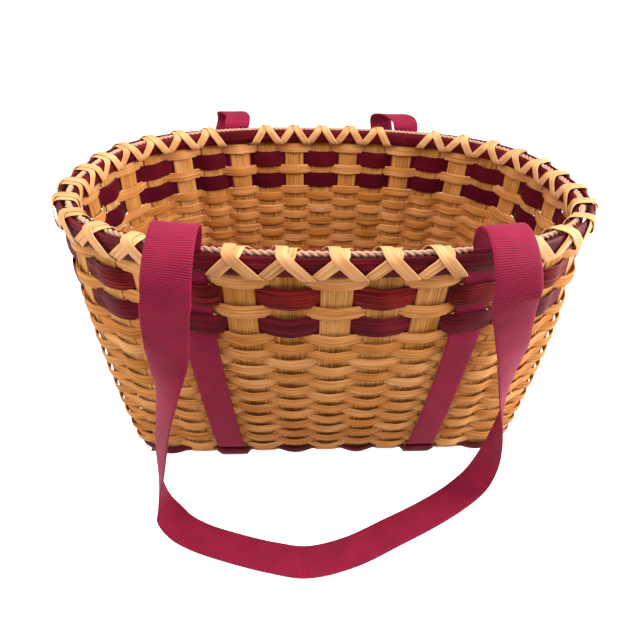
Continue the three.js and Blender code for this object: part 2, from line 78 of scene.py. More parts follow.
# %% Heights
BASE_Z = 4.1
FIRST_ROW_Z = 11.7
ROW_PITCH = 8.2
NATURAL_ROWS = 19
LOWER_DYED_Z = 179.95
BETWEEN_Z = 192.4
UPPER_DYED_Z = 204.85
TOP_ROW_Z = 217.3
RIM_Z = 230.85
RIM_TOP_Z = 237.85
STAKE_TOP_Z = 234.85
print("rim at", RIM_Z, "mm, rows from", FIRST_ROW_Z, "to", TOP_ROW_Z, "mm")

# %% [markdown]
# The wall. Thirty-six uprights stand round the basket, counted from the front middle towards
# the right. Each leaves the base at a foot and reaches the rim, which is a rounded rectangle
# cut into equal lengths.

# %% Feet and rim
UPRIGHTS = 36
RIGHT_MIDDLE, BACK_MIDDLE, LEFT_MIDDLE = 9, 18, 27
SIDE_SPREAD, END_SPREAD = 5, 3
BASE_HALF = (182, 130)
STAKE_PITCH = (30.6, 37)
# Middle upright of each side, how many stand on either hand of it, and the way the wall runs
SIDES = (
    (0, SIDE_SPREAD, (1, 0)), (RIGHT_MIDDLE, END_SPREAD, (0, 1)),
    (BACK_MIDDLE, SIDE_SPREAD, (-1, 0)), (LEFT_MIDDLE, END_SPREAD, (0, -1)),
)
RIM_HALF = (210, 145)
RIM_ROUNDNESS = 2.5
RIM_FINE = 7201


def foot(k):
    """Where upright k leaves the base, and which way the wall runs there."""
    for middle, spread, (x, y) in SIDES:
        steps = (k - middle + UPRIGHTS // 2) % UPRIGHTS - UPRIGHTS // 2
        if abs(steps) <= spread:
            along, out = steps * STAKE_PITCH[abs(y)], BASE_HALF[abs(x)]
            return (x * along + y * out, y * along - x * out, 0), (x, y, 0)


def squared_off(wave, roundness):
    """A sine or cosine with fuller corners, which turns a circle into a rounded rectangle."""
    return np.sign(wave) * np.abs(wave) ** (2 / roundness)


def equal_lengths(x, y, count):
    """A closed line cut into equal lengths."""
    length = np.concatenate(([0], np.cumsum(np.hypot(np.diff(x), np.diff(y)))))
    marks = np.arange(count) * length[-1] / count
    return np.interp(marks, length, x), np.interp(marks, length, y)


def rim_points():
    a = np.linspace(0, 2 * np.pi, RIM_FINE)
    x = RIM_HALF[0] * squared_off(np.sin(a), RIM_ROUNDNESS)
    y = -RIM_HALF[1] * squared_off(np.cos(a), RIM_ROUNDNESS)
    return np.stack((*equal_lengths(x, y, UPRIGHTS), np.zeros(UPRIGHTS)), 1)


FEET = np.array([foot(k)[0] for k in range(UPRIGHTS)], float)
FEET_ALONG = np.array([foot(k)[1] for k in range(UPRIGHTS)], float)
RIM = rim_points()
print("upright pitch at the rim", round(float(np.linalg.norm(RIM[1] - RIM[0])), 1), "mm")

# %% [markdown]
# Strips run in smooth curves through a few known places. A Blender curve could give such a
# line, but its places are needed as numbers here, so it is worked out in numpy.

# %% Smooth curve through knots


def spline(knots, u, closed=True):
    """The curve at u, with knots at whole numbers of u: place and slope."""
    i = np.floor(u).astype(int)
    steps = (-1, 0, 1, 2)
    if not closed:
        before, after = 2 * knots[0] - knots[1], 2 * knots[-1] - knots[-2]
        knots = np.concatenate(([before], knots, [after]))
        i = np.clip(i, 0, len(knots) - 4)
        steps = (0, 1, 2, 3)
    f = (u - i)[:, None]
    a, b, c, d = (knots[(i + step) % len(knots)] for step in steps)
    ab, bc, cd = (np.sqrt(np.linalg.norm(q - p, axis=1, keepdims=True))
                  for p, q in ((a, b), (b, c), (c, d)))
    start = ((b - a) / ab - (c - a) / (ab + bc) + (c - b) / bc) * bc
    end = ((c - b) / bc - (d - b) / (bc + cd) + (d - c) / cd) * bc
    second = 3 * (c - b) - 2 * start - end
    third = 2 * (b - c) + start + end
    return b + f * (start + f * (second + f * third)), start + f * (2 * second + 3 * f * third)


print("rim beside the front middle", spline(RIM, np.array([0.5]))[0][0].round(1))

# %% [markdown]
# Any place on the wall is given by an upright number, which may lie between two uprights, and
# a height. The wall flares out quickly above the base and swells at the corners, as a basket
# does when the weaver is pulled less tight there.

# %% Places on the wall
WALL_FLARE = 2.4
CORNER_SWELL = 14
SWELL_CENTRES = (6.5, 11.5)
SWELL_REACH = 4
STRAP_STAKE = 3
UP = np.array((0.0, 0.0, 1.0))


def unit(v):
    return v / np.linalg.norm(v, axis=-1, keepdims=True)


def height_share(z):
    return np.clip((z - BASE_Z) / (RIM_TOP_Z - BASE_Z), 0, 1)


def flare(z):
    return (1 - (1 - height_share(z)) ** WALL_FLARE)[:, None]


def wall_point(u, z):
    base = spline(FEET, u)[0]
    rim, along = spline(RIM, u)
    share = sum(
        np.cos(np.pi / 2 * np.clip((np.mod(u, UPRIGHTS / 2) - centre) / SWELL_REACH, -1, 1)) ** 2
        for centre in SWELL_CENTRES
    )
    t = height_share(z)
    swell = CORNER_SWELL * share * 4 * t * (1 - t)
    p = base + (rim - base) * flare(z) + unit(np.cross(along, UP)) * swell[:, None]
    p[:, 2] = z
    return p


def wall_frame(u, z):
    """Place on the middle of the stakes, and the ways along the wall, up it and out of it."""
    u, z = np.broadcast_arrays(np.atleast_1d(np.asarray(u, float)), np.asarray(z, float))
    foot_along = FEET_ALONG[np.round(u).astype(int) % UPRIGHTS]
    t = unit(foot_along + (unit(spline(RIM, u)[1]) - foot_along) * flare(z))
    n = unit(np.cross(t, wall_point(u, z + 1) - wall_point(u, z - 1)))
    return wall_point(u, z), t, np.cross(n, t), n


def front(i):
    return i % UPRIGHTS


def back(i):
    return BACK_MIDDLE - i


STRAP_UPRIGHTS = (front(STRAP_STAKE), back(STRAP_STAKE), back(-STRAP_STAKE), front(-STRAP_STAKE))
FRONT_RIGHT, BACK_RIGHT, BACK_LEFT, FRONT_LEFT = STRAP_UPRIGHTS
print("straps at uprights", STRAP_UPRIGHTS)

# %% [markdown]
# One small function adds a node with its links and its settings. Everything made of nodes
# below uses it. Two more start and end a Geometry Nodes tree, and one turns the hex colours
# that are given into Blender's linear ones.

# %% Helpers for nodes and colours
MATH = "ShaderNodeMath"
VECTOR_MATH = "ShaderNodeVectorMath"
ATTRIBUTE = "GeometryNodeInputNamedAttribute"
STORE = "GeometryNodeStoreNamedAttribute"


def node(tree, kind, inputs=None, **settings):
    """Adds a node. A node or socket given as an input is linked, all else is set as its value."""
    made = tree.nodes.new(kind)
    for name, value in settings.items():
        setattr(made, name, value)
    for name, value in (inputs or {}).items():
        if isinstance(value, bpy.types.Node):
            value = value.outputs[0]
        if isinstance(value, bpy.types.NodeSocket):
            tree.links.new(value, made.inputs[name])
        else:
            made.inputs[name].default_value = value
    return made


def new_tree(name, result, sockets):
    """A Geometry Nodes tree, and the sockets that give its named inputs."""
    tree = bpy.data.node_groups.new(name, "GeometryNodeTree")
    for socket, kind in sockets.items():
        tree.interface.new_socket(socket, in_out="INPUT", socket_type="NodeSocket" + kind)
    tree.interface.new_socket(result, in_out="OUTPUT", socket_type="NodeSocketGeometry")
    return tree, tree.nodes.new("NodeGroupInput").outputs


def end_tree(tree, geometry, material):
    real = node(tree, "GeometryNodeRealizeInstances", {0: geometry})
    dressed = node(tree, "GeometryNodeSetMaterial", {0: real, "Material": material})
    node(tree, "NodeGroupOutput", {0: dressed})


def linear(hex_colour):
    parts = [int(hex_colour[i:i + 2], 16) / 255 for i in (1, 3, 5)]
    return (*(c / 12.92 if c <= 0.04045 else ((c + 0.055) / 1.055) ** 2.4 for c in parts), 1)


print("mid reed in linear light:", [round(c, 3) for c in linear("#b87c40")])

# %% [markdown]
# Every strip in this basket, from the stakes to the webbing, is one flat section drawn along
# a path. So one Geometry Nodes tree makes them all: it takes a guide, which is a line of
# points with a facing for each, bends it by a little noise as hand work does, and draws a
# rounded flat section along it. It also keeps how far along and across the strip each point
# is, in metres, so that grain and weave can follow the strip. Curve objects with a bevel could
# do this too, but they twist on their own, and here the facing has to stay put.

# %% Tree for a flat strip along a guide
WOBBLE_SCALE = 28.0
SQUARENESS = {"X": 0.45, "Y": 0.5}
BARK_FROM = 0.01


def strip_tree():
    tree, given = new_tree("flat_strip", "Strip", {
        "Guide": "Geometry", "Width": "Float", "Thickness": "Float", "Crown": "Float",
        "Corners": "Int", "Wobble": "Float", "Seed": "Float", "Tint": "Float",
        "Material": "Material",
    })
    noise = node(tree, "ShaderNodeTexNoise",
                 {"W": given["Seed"], "Scale": WOBBLE_SCALE, "Detail": 1.0}, noise_dimensions="4D")
    middle = node(tree, VECTOR_MATH,
                  {0: noise.outputs["Color"], 1: (0.5, 0.5, 0.5)}, operation="SUBTRACT")
    shift = node(tree, VECTOR_MATH, {0: middle, "Scale": given["Wobble"]}, operation="SCALE")
    bent = node(tree, "GeometryNodeSetPosition", {0: given["Guide"], "Offset": shift})
    curve = node(tree, "GeometryNodeMeshToCurve", {0: bent})
    facing = node(tree, ATTRIBUTE, {"Name": "facing"}, data_type="FLOAT_VECTOR")
    faced = node(tree, "GeometryNodeSetCurveNormal",
                 {"Curve": curve, "Normal": facing}, mode="FREE")

    circle = node(tree, "GeometryNodeCurvePrimitiveCircle",
                  {"Resolution": given["Corners"], "Radius": 1.0})
    place = node(tree, "GeometryNodeInputPosition")
    xyz = node(tree, "ShaderNodeSeparateXYZ", {0: place}).outputs
    shares, sizes = {}, {}
    for axis, size in (("X", "Thickness"), ("Y", "Width")):
        full = node(tree, MATH, {0: xyz[axis]}, operation="ABSOLUTE")
        flat = node(tree, MATH, {0: full, 1: SQUARENESS[axis]}, operation="POWER")
        side = node(tree, MATH, {0: xyz[axis]}, operation="SIGN")
        shares[axis] = node(tree, MATH, {0: flat, 1: side}, operation="MULTIPLY")
        half = node(tree, MATH, {0: given[size], 1: 0.5}, operation="MULTIPLY")
        sizes[axis] = node(tree, MATH, {0: shares[axis], 1: half}, operation="MULTIPLY")
    square = node(tree, MATH, {0: shares["Y"], 1: shares["Y"]}, operation="MULTIPLY")
    bow = node(tree, MATH, {0: 1.0, 1: square}, operation="SUBTRACT")
    outer = node(tree, MATH, {0: xyz["X"], 1: BARK_FROM}, operation="GREATER_THAN")
    outer_bow = node(tree, MATH, {0: bow, 1: outer}, operation="MULTIPLY")
    crowned = node(tree, MATH,
                   {0: outer_bow, 1: given["Crown"], 2: sizes["X"]}, operation="MULTIPLY_ADD")
    corner = node(tree, "ShaderNodeCombineXYZ", {"X": crowned, "Y": sizes["Y"]})
    section = node(tree, "GeometryNodeSetPosition", {0: circle, "Position": corner})
    bark = node(tree, MATH, {0: xyz["X"], 1: 0.0}, operation="GREATER_THAN")
    for name, value in (("across", xyz["Y"]), ("bark", bark)):
        section = node(tree, STORE, {0: section, "Name": name, "Value": value})

    fullness = node(tree, ATTRIBUTE, {"Name": "fullness"})
    strip = node(tree, "GeometryNodeCurveToMesh",
                 {"Curve": faced, "Profile Curve": section, "Scale": fullness, "Fill Caps": True})
    tinted = node(tree, STORE, {0: strip, "Name": "tint", "Value": given["Tint"]})
    end_tree(tree, tinted, given["Material"])
    return tree


STRIP_TREE = strip_tree()
print("flat strip tree:", len(STRIP_TREE.nodes), "nodes")

# %% [markdown]
# A guide is a mesh of points and edges only. The tree runs on it as a modifier, and the
# result is copied into a plain mesh that no longer needs the tree. The flat caps at the ends
# of a strip stay flat, so that they don't smear the shading of its sides. A piece is named for
# its CAD node and its material, and draws its own tint, so that no two strips look the same.

# %% From guide to mesh


def add_object(name, data):
    made = bpy.data.objects.new(name, data)
    bpy.context.scene.collection.objects.link(made)
    return made


def run_tree(tree, name, guide, values):
    """Runs a tree on a guide of points in millimetres and returns a plain mesh."""
    points = np.asarray(guide["points"]) * MM
    count = len(points)
    last = count if guide.get("closed") else count - 1
    line = bpy.data.meshes.new(name + "_guide")
    line.from_pydata(points.tolist(), [(i, (i + 1) % count) for i in range(last)], [])
    for key in ("facing", "rise"):
        if key in guide:
            line.attributes.new(key, "FLOAT_VECTOR", "POINT").data.foreach_set(
                "vector", unit(np.asarray(guide[key])).astype(np.float32).ravel())
    steps = np.linalg.norm(np.diff(points, axis=0), axis=1)
    numbers = {
        "along": np.concatenate(([0], np.cumsum(steps))),
        "fullness": guide.get("fullness", np.ones(count)),
    }
    for key, number in numbers.items():
        line.attributes.new(key, "FLOAT", "POINT").data.foreach_set(
            "value", number.astype(np.float32))
    carrier = add_object(name + "_guide", line)
    modifier = carrier.modifiers.new("tree", "NODES")
    modifier.node_group = tree
    for item in tree.interface.items_tree:
        if item.in_out == "INPUT" and item.name in values:
            modifier[item.identifier] = values[item.name]
    ready = carrier.evaluated_get(bpy.context.evaluated_depsgraph_get())
    mesh = bpy.data.meshes.new_from_object(ready)
    bpy.data.objects.remove(carrier)
    bpy.data.meshes.remove(line)
    mesh.name = name
    corners = np.zeros(len(mesh.polygons), np.int32)
    mesh.polygons.foreach_get("loop_total", corners)
    mesh.polygons.foreach_set("use_smooth", corners <= 4)
    return mesh


print("guides are in millimetres, meshes in metres")

# %% From mesh to piece
TINT_SEED = 1000
shown = {}


def settle(name, mesh, cad_node, body="basket"):
    """Puts a finished mesh in the scene as the piece that stands for a CAD node."""
    piece = add_object(name, mesh)
    if body:
        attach(piece, body)
    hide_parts(cad_node)
    shown[cad_node] = piece
    return piece


def strip_piece(cad_node, ending, guide, stock, material, seed, body="basket"):
    name = f"{cad_node}_{ending}"
    draw = np.random.default_rng(seed + TINT_SEED)
    values = {key: size * (1 if key == "Corners" else MM) for key, size in stock.items()}
    values.update(Seed=float(seed), Tint=float(draw.random()), Material=material)
    return settle(name, run_tree(STRIP_TREE, name, guide, values), cad_node, body)


print("pieces so far:", len(shown))

# %% [markdown]
# Reed is the core of the rattan palm, split flat. Its pores run the whole length of the strip,
# so it shows fine straight grain with darker streaks, and it takes dye into the same grain.
# One material recipe serves the natural, pale and dyed reed, with other colours. Grain is
# about 0.9 mm wide and 60 mm long. The finest fibres are really about 0.1 mm wide, and are
# drawn 0.35 mm wide so that they show. All of it follows the strip by its own attributes.

# %% Reed recipe
# Each pattern's length along the strip and width across it in millimetres, and its detail
REED_PATTERNS = {
    "grain": (60, 0.9, 3.0), "fibre": (22, 0.35, 2.0), "streak": (30, 1.3, 2.0),
    "stain": (35, 18, 2.0),
}
TINT_SHIFT = 91.7
TINT_SPREAD = 0.22
STAIN_SHARE = 0.5
STREAK_EDGE = (0.56, 0.74)
CORE_SHARE = 0.8
GRAIN_SPAN = (0.3, 0.7)
POLISH_SPREAD = 0.1
FIBRE_HEIGHT = 0.1
DULL = 0.05


def new_material(name, *measures):
    """An empty material, its tree, and the strip's own measures as sockets."""
    material = bpy.data.materials.new(name)
    material.use_nodes = True
    tree = material.node_tree
    tree.nodes.clear()
    return material, tree, [
        node(tree, "ShaderNodeAttribute", attribute_name=measure).outputs["Fac"]
        for measure in measures
    ]


def set_stops(ramp, *stops):
    """Gives a colour ramp its stops, each a place on the ramp and a hex colour."""
    for _ in stops[2:]:
        ramp.color_ramp.elements.new(0.5)
    for element, (place, hex_colour) in zip(ramp.color_ramp.elements, stops):
        element.position, element.color = place, linear(hex_colour)


def strip_noise(tree, along, across, length, width, detail, shift=0.0):
    """Noise drawn out along a strip. Its length and width are in metres."""
    x = node(tree, MATH, {0: along, 1: length}, operation="DIVIDE")
    y = node(tree, MATH, {0: across, 1: width}, operation="DIVIDE")
    spot = node(tree, "ShaderNodeCombineXYZ", {0: x, 1: y, 2: shift})
    noise = node(tree, "ShaderNodeTexNoise", {"Vector": spot, "Scale": 1.0, "Detail": detail})
    return noise.outputs["Fac"]


def reed(name, dark, mid, light, streak, streaks=0.4, roughness=0.62, bump=0.5, core=None):
    material, tree, (along, across, tint, bark) = new_material(
        name, "along", "across", "tint", "bark")
    shift = node(tree, MATH, {0: tint, 1: TINT_SHIFT}, operation="MULTIPLY")
    fields = {
        field: strip_noise(tree, along, across, length * MM, width * MM, detail, shift)
        for field, (length, width, detail) in REED_PATTERNS.items()
    }
    lean = node(tree, MATH,
                {0: tint, 1: TINT_SPREAD, 2: -TINT_SPREAD / 2}, operation="MULTIPLY_ADD")
    tone = node(tree, MATH, {0: fields["grain"], 1: lean}, operation="ADD")
    stained = node(tree, MATH,
                   {0: fields["stain"], 1: STAIN_SHARE, 2: tone}, operation="MULTIPLY_ADD")
    ramp = node(tree, "ShaderNodeValToRGB", {0: stained})
    set_stops(ramp, (0.5, dark), (0.75, mid), (1.0, light))
    mask = node(tree, "ShaderNodeMapRange", {
        0: fields["streak"], 1: STREAK_EDGE[0], 2: STREAK_EDGE[1], 3: 0.0, 4: streaks,
    }, interpolation_type="SMOOTHSTEP")
    colour = node(tree, "ShaderNodeMix",
                  {0: mask, 6: ramp.outputs[0], 7: linear(streak)}, data_type="RGBA").outputs[2]
    if core:
        inner = node(tree, "ShaderNodeMapRange", {0: bark, 3: CORE_SHARE, 4: 0.0})
        colour = node(tree, "ShaderNodeMix",
                      {0: inner, 6: colour, 7: linear(core)}, data_type="RGBA").outputs[2]
    polish = node(tree, "ShaderNodeMapRange", {
        0: fields["grain"], 1: GRAIN_SPAN[0], 2: GRAIN_SPAN[1],
        3: roughness + POLISH_SPREAD, 4: roughness - POLISH_SPREAD,
    })
    ridges = node(tree, "ShaderNodeBump",
                  {"Height": fields["fibre"], "Strength": bump, "Distance": FIBRE_HEIGHT * MM})
    shader = node(tree, "ShaderNodeBsdfPrincipled", {
        "Base Color": colour, "Roughness": polish, "Normal": ridges, "Specular IOR Level": DULL,
    })
    node(tree, "ShaderNodeOutputMaterial", {0: shader})
    return material


print("patterns in the reed:", list(REED_PATTERNS))

# %% Reed materials
# Rattan reed, split and sanded: tan, matt, with brown streaks where the bark side shows
STAKE_REED = reed("natural_reed_stake", "#92581f", "#bb8044", "#cf9e66", "#623414")
WEAVER_REED = reed("natural_reed_weaver", "#96581d", "#b8783e", "#cc9662", "#744218")
# Cane peel, the skin of the same palm: pale, smooth and slightly glossy
CANE_PEEL = reed("pale_cane_peel", "#a06a3a", "#c68f5e", "#d8a878", "#8e5a2a",
                 streaks=0.25, roughness=0.5, bump=0.3)
# Reed dyed in the strip: the bark side takes it unevenly, and the porous core side turns redder
MAROON_REED = reed("maroon_dyed_reed", "#2a0406", "#4e080b", "#86201a", "#1e0308",
                   streaks=0.6, roughness=0.56, bump=0.4, core="#4a0818")
PLUM_REED = reed("plum_dyed_reed", "#1c0307", "#3e060e", "#62101c", "#120206",
                 streaks=0.6, roughness=0.56, bump=0.4, core="#420616")
# Half-round reed for the rim: dyed, and smoother than the flat strips
RIM_REED = reed("plum_dyed_rim_reed", "#300509", "#560c16", "#7c222a", "#200408",
                streaks=0.35, roughness=0.5, bump=0.3)
print("reed materials end with", RIM_REED.name)

# %% [markdown]
# The stakes. Each is one strip that goes down one wall, under the basket and up the other.
# The cross stakes pass over and under the long ones in the base. They could be bent with an
# armature, but their path is known at every height, so the guide is worked out directly.

# %% Guide down a wall, under the base and up again
BEND_REACH = 3.5
WALL_STEPS = 48
BEND_STEPS = 8


def base_bend(k, offset):
    """The turn from the wall at upright k into the base, as places and facings."""
    p, _, _, n = (part[0] for part in wall_frame(k, BASE_Z + BEND_REACH))
    at, along = FEET[k], FEET_ALONG[k]
    out = np.cross(along, UP)
    start = p + n * offset
    corner = at + out * offset + UP * (BASE_Z - offset)
    end = at - out * BEND_REACH + UP * (BASE_Z - offset)
    s = np.linspace(0, 1, BEND_STEPS + 1)[1:, None]
    place = (1 - s) ** 2 * start + 2 * s * (1 - s) * corner + s ** 2 * end
    slope = (1 - s) * (corner - start) + s * (end - corner)
    return place, unit(np.cross(slope, along))


def wall_run(k, top, offset):
    """Down the wall at upright k. offset gives how far out the strip lies at each height."""
    z = np.linspace(top, BASE_Z + BEND_REACH, WALL_STEPS)
    p, _, _, n = wall_frame(np.full(len(z), float(k)), z)
    return p + n * offset(z)[:, None], n


def under_run(near, far, top, offset, bend_offset, base):
    """Guide of a strip down one wall, along the base and up the other."""
    parts = []
    for k in (near, far):
        wall, wall_facing = wall_run(k, top, offset)
        bend, bend_facing = base_bend(k, bend_offset)
        parts.append((np.concatenate((wall, bend)), np.concatenate((wall_facing, bend_facing))))
    facing = np.tile(-UP, (len(base), 1))
    return {
        "points": np.concatenate((parts[0][0], base, parts[1][0][::-1])),
        "facing": np.concatenate((parts[0][1], facing, parts[1][1][::-1])),
    }


def base_line(half, steps):
    """Steps along the base, from just inside one wall to just inside the other."""
    return np.linspace(-half + 2 * BEND_REACH, half - 2 * BEND_REACH, steps)


print("a strip turns from wall to base in", BEND_STEPS, "steps")

# %% Stakes in the base
STAKE_REACH = 11.5
BASE_LIFT = 1.6
CROSS_STEPS = 80
LONG_STEPS = 12


def smoothstep(x):
    x = np.clip(x, 0, 1)
    return x * x * (3 - 2 * x)


def cross_base(i):
    """Cross stake i in the base, over and under the seven long stakes."""
    y = base_line(BASE_HALF[1], CROSS_STEPS)
    j = np.arange(-END_SPREAD, END_SPREAD + 1)
    middle = j * STAKE_PITCH[1]
    edges = np.stack((middle - STAKE_REACH, middle + STAKE_REACH), 1).ravel()
    level = np.repeat(np.where((i + j) % 2 == 0, 1.0, -1.0), 2)
    at = np.clip(np.searchsorted(edges, y) - 1, 0, len(edges) - 2)
    share = smoothstep((y - edges[at]) / (edges[at + 1] - edges[at]))
    z = BASE_Z + BASE_LIFT * (level[at] + (level[at + 1] - level[at]) * share)
    return np.stack(np.broadcast_arrays(i * STAKE_PITCH[0], y, z), 1)


def long_base(j):
    x = base_line(BASE_HALF[0], LONG_STEPS)
    return np.stack(np.broadcast_arrays(x, j * STAKE_PITCH[1], BASE_Z), 1)


print("stake guides have", 2 * (WALL_STEPS + BEND_STEPS) + CROSS_STEPS, "points")

# %% Stakes
CROSS_SEED = 6
LONG_SEED = 24


def flat_on_wall(z):
    return np.zeros(len(z))


def stake(name, near, far, base, seed):
    guide = under_run(near, far, STAKE_TOP_Z, flat_on_wall, 0, base)
    strip_piece(name, "reed", guide, STAKE, STAKE_REED, seed)


for i in range(-SIDE_SPREAD, SIDE_SPREAD + 1):
    name = f"cross_stake_{i + SIDE_SPREAD + 1:02d}"
    stake(name, front(i), back(i), cross_base(i), CROSS_SEED + i)
for j in range(-END_SPREAD, END_SPREAD + 1):
    name = f"long_stake_{j + END_SPREAD + 1:02d}"
    stake(name, LEFT_MIDDLE - j, RIGHT_MIDDLE + j, long_base(j), LONG_SEED + j)
print("stakes:", len(shown))

# %% [markdown]
# The weavers. Each row goes outside one upright and inside the next, and the row above does
# the opposite. Over a stake the strip stands out in a low bump, and beside it the strip dives
# to the other side, so the guide has three knots for each upright: one at each edge of the
# stake and one at the top of the bump. The dyed rows also pass outside the webbing straps.
# Between the stakes the narrow rows are packed so tightly that the reed is squeezed narrower.
# Hand work is never even, so each bump is a little higher or lower than the next. A row starts
# and ends inside the front wall beside the left strap, where its join is out of sight.

# %% Guides for rows
EDGE_LIFT = 1.3
BUMP_LIFT = 3.5
BUMP_SPREAD = 0.12
ROW_SWAY = 0.22
UNDER_STRAP_LIFT = 1.9
OVER_STRAP_EDGE = 3.5
OVER_STRAP_BUMP = 4.3
STRAP_REACH = 13.75
KNOT_STEPS = 4
SQUEEZE = 0.08
SQUEEZE_FROM = 0.15
SQUEEZE_FADE = 0.3


def row_guide(z, outside_odd, over_straps, squeeze, seed):
    draw = np.random.default_rng(seed)
    k = np.arange(UPRIGHTS)
    p, t, v, n = wall_frame(k, z)
    outside = (k % 2 == 1) == outside_odd
    strap = np.isin(k, STRAP_UPRIGHTS)
    over = outside & strap & over_straps
    bump = BUMP_LIFT * draw.uniform(1 - BUMP_SPREAD, 1 + BUMP_SPREAD, UPRIGHTS)
    bump = np.where(outside & strap, UNDER_STRAP_LIFT, bump)
    bump = np.where(over, OVER_STRAP_BUMP, bump)
    edge = np.where(over, OVER_STRAP_EDGE, EDGE_LIFT)
    reach = np.where(over, STRAP_REACH, STAKE_REACH)
    side = np.where(outside, 1.0, -1.0)
    knots = np.empty((UPRIGHTS, 3, 3))
    for knot, (along, lift) in enumerate(((-1, edge), (0, bump), (1, edge))):
        sway = draw.uniform(-ROW_SWAY, ROW_SWAY, UPRIGHTS)
        place = p + t * (along * reach)[:, None] + n * (side * lift)[:, None]
        knots[:, knot] = place + v * sway[:, None]
    start = 3 * (FRONT_LEFT + int(outside_odd))
    u = start + np.arange(3 * UPRIGHTS * KNOT_STEPS) / KNOT_STEPS
    points = spline(knots.reshape(-1, 3), u)[0]
    share = np.mod(u / 3 - 1 / 3, UPRIGHTS)
    low = np.floor(share).astype(int)
    mix = smoothstep(share - low)[:, None]
    facing = unit(n[low % UPRIGHTS] * (1 - mix) + n[(low + 1) % UPRIGHTS] * mix)
    beside = np.abs(share - np.round(share))
    fullness = 1 - squeeze * smoothstep((beside - SQUEEZE_FROM) / SQUEEZE_FADE)
    return {"points": points, "facing": facing, "fullness": fullness, "closed": True}


print("row guides have", 3 * UPRIGHTS * KNOT_STEPS, "points")

# %% Rows of weaving
ROW_SEED = 40
ROWS = [("dyed_row_bottom", FIRST_ROW_Z, True, True, WEAVER, PLUM_REED, "dyed_reed")]
for row in range(1, NATURAL_ROWS + 1):
    ROWS.append((f"natural_row_{row:02d}", FIRST_ROW_Z + row * ROW_PITCH, row % 2 == 0, False,
                 WEAVER, WEAVER_REED, "natural_reed"))
ROWS += [
    ("dyed_row_lower", LOWER_DYED_Z, True, True, DYED_WEAVER, PLUM_REED, "dyed_reed"),
    ("natural_row_between_dyed", BETWEEN_Z, False, False, BAND_WEAVER, WEAVER_REED, "natural_reed"),
    ("dyed_row_upper", UPPER_DYED_Z, True, True, DYED_WEAVER, MAROON_REED, "dyed_reed"),
    ("natural_row_top", TOP_ROW_Z, False, False, BAND_WEAVER, WEAVER_REED, "natural_reed"),
]
for seed, (name, z, outside_odd, over_straps, stock, material, slot) in enumerate(ROWS, ROW_SEED):
    squeeze = SQUEEZE if stock is WEAVER else 0
    guide = row_guide(z, outside_odd, over_straps, squeeze, seed)
    strip_piece(name, "weaver", guide, stock, material, seed)
print("rows:", len(ROWS))

# %% [markdown]
# The rim is two half-round bands, one outside the stakes and one inside, with their rounded
# backs facing away from the wall. They follow the rim outline at a steady distance.

# %% Rim bands
RIM_BANDS = (("outer_rim_band", 4.8), ("inner_rim_band", -4.2))
RIM_STEPS = 6
RIM_SEED = 70


def rim_guide(offset, up, steps):
    """Once round the rim, from the back middle outside the stakes, else from the front middle."""
    side, start = (1, UPRIGHTS / 2) if offset > 0 else (-1, 0)
    u = np.arange(UPRIGHTS * steps) / steps + start
    p, _, v, n = wall_frame(u, RIM_Z)
    return {"points": p + n * offset + v * up, "facing": n * side, "rise": v, "closed": True}


def path_length(points):
    return round(float(np.linalg.norm(np.diff(points, axis=0), axis=1).sum()))


for name, offset in RIM_BANDS:
    guide = rim_guide(offset, 0, RIM_STEPS)
    strip_piece(name, "reed", guide, RIM_BAND, RIM_REED, RIM_SEED)
print("rim band length", path_length(RIM), "mm")

# %% [markdown]
# Seagrass fills the slot between the two bands. It is a cord of two strands twisted together,
# so a second tree copies the rim line twice, winds each copy round it and gives it a round
# section. The copies differ only by half a turn.

# %% Seagrass material
SEAGRASS_FIBRE = 14
FIBRES_PER_CORNER = 9.0


def seagrass():
    # Dried seagrass, hand twisted: dull, pinkish tan, with fibres along each strand
    material, tree, (along, across) = new_material("twisted_seagrass", "along", "across")
    # Across a strand, the cord counts the corners of its section instead of metres
    fibre = strip_noise(tree, along, across, SEAGRASS_FIBRE * MM, 1 / FIBRES_PER_CORNER, 3.0)
    ramp = node(tree, "ShaderNodeValToRGB", {0: fibre})
    set_stops(ramp, (0.3, "#8a5c44"), (0.7, "#d0a282"))
    ridges = node(tree, "ShaderNodeBump",
                  {"Height": fibre, "Strength": 0.5, "Distance": FIBRE_HEIGHT * MM})
    shader = node(tree, "ShaderNodeBsdfPrincipled",
                  {"Base Color": ramp, "Normal": ridges, "Roughness": 0.8})
    node(tree, "ShaderNodeOutputMaterial", {0: shader})
    return material


SEAGRASS = seagrass()
print("material", SEAGRASS.name)

# %% Tree for a twisted cord


